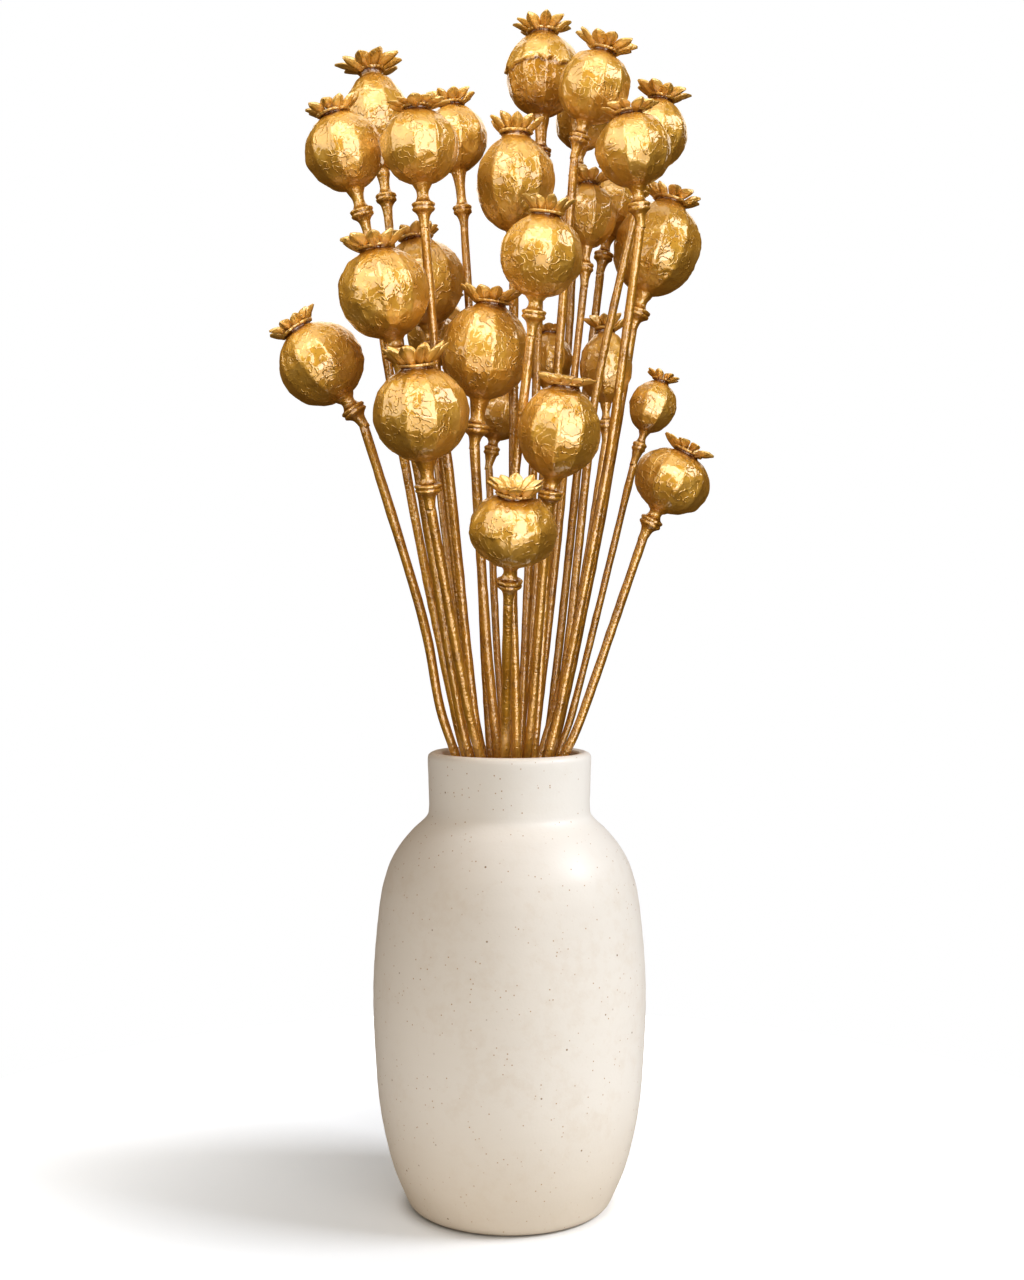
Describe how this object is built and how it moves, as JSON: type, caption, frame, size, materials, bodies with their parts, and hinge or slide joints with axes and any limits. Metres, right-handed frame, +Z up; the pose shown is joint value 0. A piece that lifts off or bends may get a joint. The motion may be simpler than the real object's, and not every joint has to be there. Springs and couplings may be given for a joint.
{
  "type": "vase of poppy seed heads",
  "caption": "Round-shouldered stoneware vase holding a loose bunch of gilded dried poppy seed heads, ribbed capsules with pointed crowns on long thin stems.",
  "frame": {"origin": "centre of the vase's flat base, on the surface it stands on", "axes": "+Z up along the vase, +X to the right and +Y to the back, seen from the front of the bunch"},
  "size_m": [0.1905, 0.1523, 0.5267],
  "materials": {
    "stoneware": "satin cream glaze with fine brown specks",
    "gilded_plant": "dried plant under metallic gold paint"
  },
  "bodies": {
    "root": {"Vase": "stoneware", "Poppy_01": "gilded_plant", "Poppy_02": "gilded_plant", "Poppy_03": "gilded_plant", "Poppy_04": "gilded_plant", "Poppy_05": "gilded_plant", "Poppy_06": "gilded_plant", "Poppy_07": "gilded_plant", "Poppy_08": "gilded_plant", "Poppy_09": "gilded_plant", "Poppy_10": "gilded_plant", "Poppy_11": "gilded_plant", "Poppy_12": "gilded_plant", "Poppy_13": "gilded_plant", "Poppy_14": "gilded_plant", "Poppy_15": "gilded_plant", "Poppy_16": "gilded_plant", "Poppy_17": "gilded_plant", "Poppy_18": "gilded_plant", "Poppy_19": "gilded_plant", "Poppy_20": "gilded_plant", "Poppy_21": "gilded_plant", "Poppy_22": "gilded_plant", "Poppy_23": "gilded_plant", "Poppy_24": "gilded_plant", "Poppy_25": "gilded_plant", "Poppy_26": "gilded_plant", "Poppy_27": "gilded_plant"}
  },
  "joints": []
}
